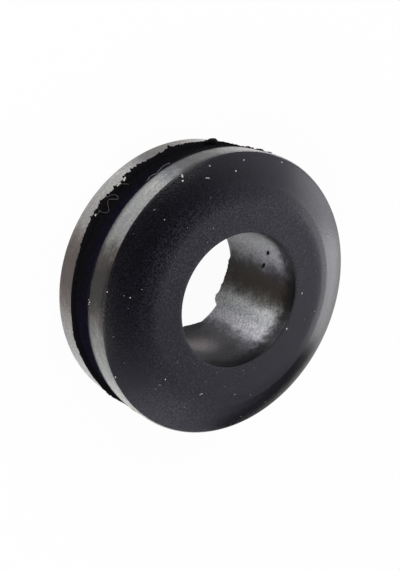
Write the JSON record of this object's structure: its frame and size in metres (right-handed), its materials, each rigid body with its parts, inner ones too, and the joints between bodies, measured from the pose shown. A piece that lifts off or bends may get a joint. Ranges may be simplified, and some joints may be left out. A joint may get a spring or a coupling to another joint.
{
  "type": "rubber cable grommet",
  "caption": "Open rubber grommet with two flanges, a groove for a panel's edge and a round bore for a cable.",
  "frame": {"origin": "on the bore's axis at the rear end face, which the grommet lies on", "axes": "+Z along the bore's axis, from the rear end face to the front end face"},
  "size_m": [0.0173, 0.0174, 0.0066],
  "materials": {
    "rubber": "matte"
  },
  "bodies": {
    "root": {"grommet": "rubber"}
  },
  "joints": []
}
